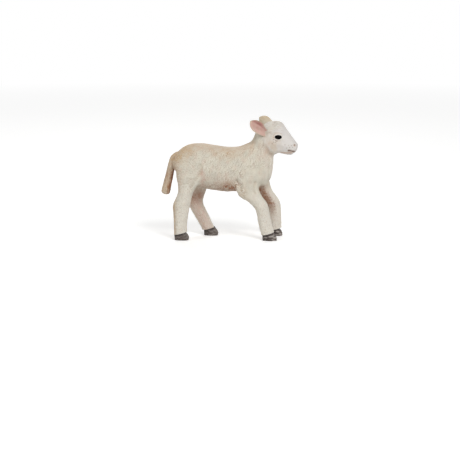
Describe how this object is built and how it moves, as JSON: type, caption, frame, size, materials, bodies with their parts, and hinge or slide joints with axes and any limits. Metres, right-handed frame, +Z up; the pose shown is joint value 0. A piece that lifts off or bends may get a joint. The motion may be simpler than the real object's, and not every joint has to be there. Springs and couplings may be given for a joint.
{
  "type": "toy lamb figure",
  "caption": "Small solid vinyl toy lamb in a walking pose, with sculpted fleece, cupped ears, a hanging tail and cloven hooves, free-standing on flat soles.",
  "frame": {"origin": "middle of the footprint box, on the ground", "axes": "+X to the nose, +Y to the lamb's left, +Z up"},
  "size_m": [0.0592, 0.0184, 0.0525],
  "materials": {
    "fleece_vinyl": "moulded PVC with sculpted fleece, sprayed cream with a tan dry brush, matt",
    "face_vinyl": "smooth moulded PVC, sprayed pale grey-cream, satin-matt",
    "ear_vinyl": "moulded PVC, rose paint inside and cream outside, matt",
    "tail_vinyl": "moulded PVC with sculpted fleece and a tan-brown wash, matt",
    "hoof_paint": "dark brown-grey paint with a pale dry brush, satin",
    "eye_gloss": "black gloss paint"
  },
  "bodies": {
    "root": {"torso": "fleece_vinyl", "head": "face_vinyl", "ear_right": "ear_vinyl", "ear_left": "ear_vinyl", "eye_right": "eye_gloss", "eye_left": "eye_gloss", "foreleg_right": "fleece_vinyl", "foreleg_left": "fleece_vinyl", "hindleg_right": "fleece_vinyl", "hindleg_left": "fleece_vinyl", "hoof_front_right": "hoof_paint", "hoof_front_left": "hoof_paint", "hoof_hind_right": "hoof_paint", "hoof_hind_left": "hoof_paint", "tail": "tail_vinyl"}
  },
  "joints": []
}
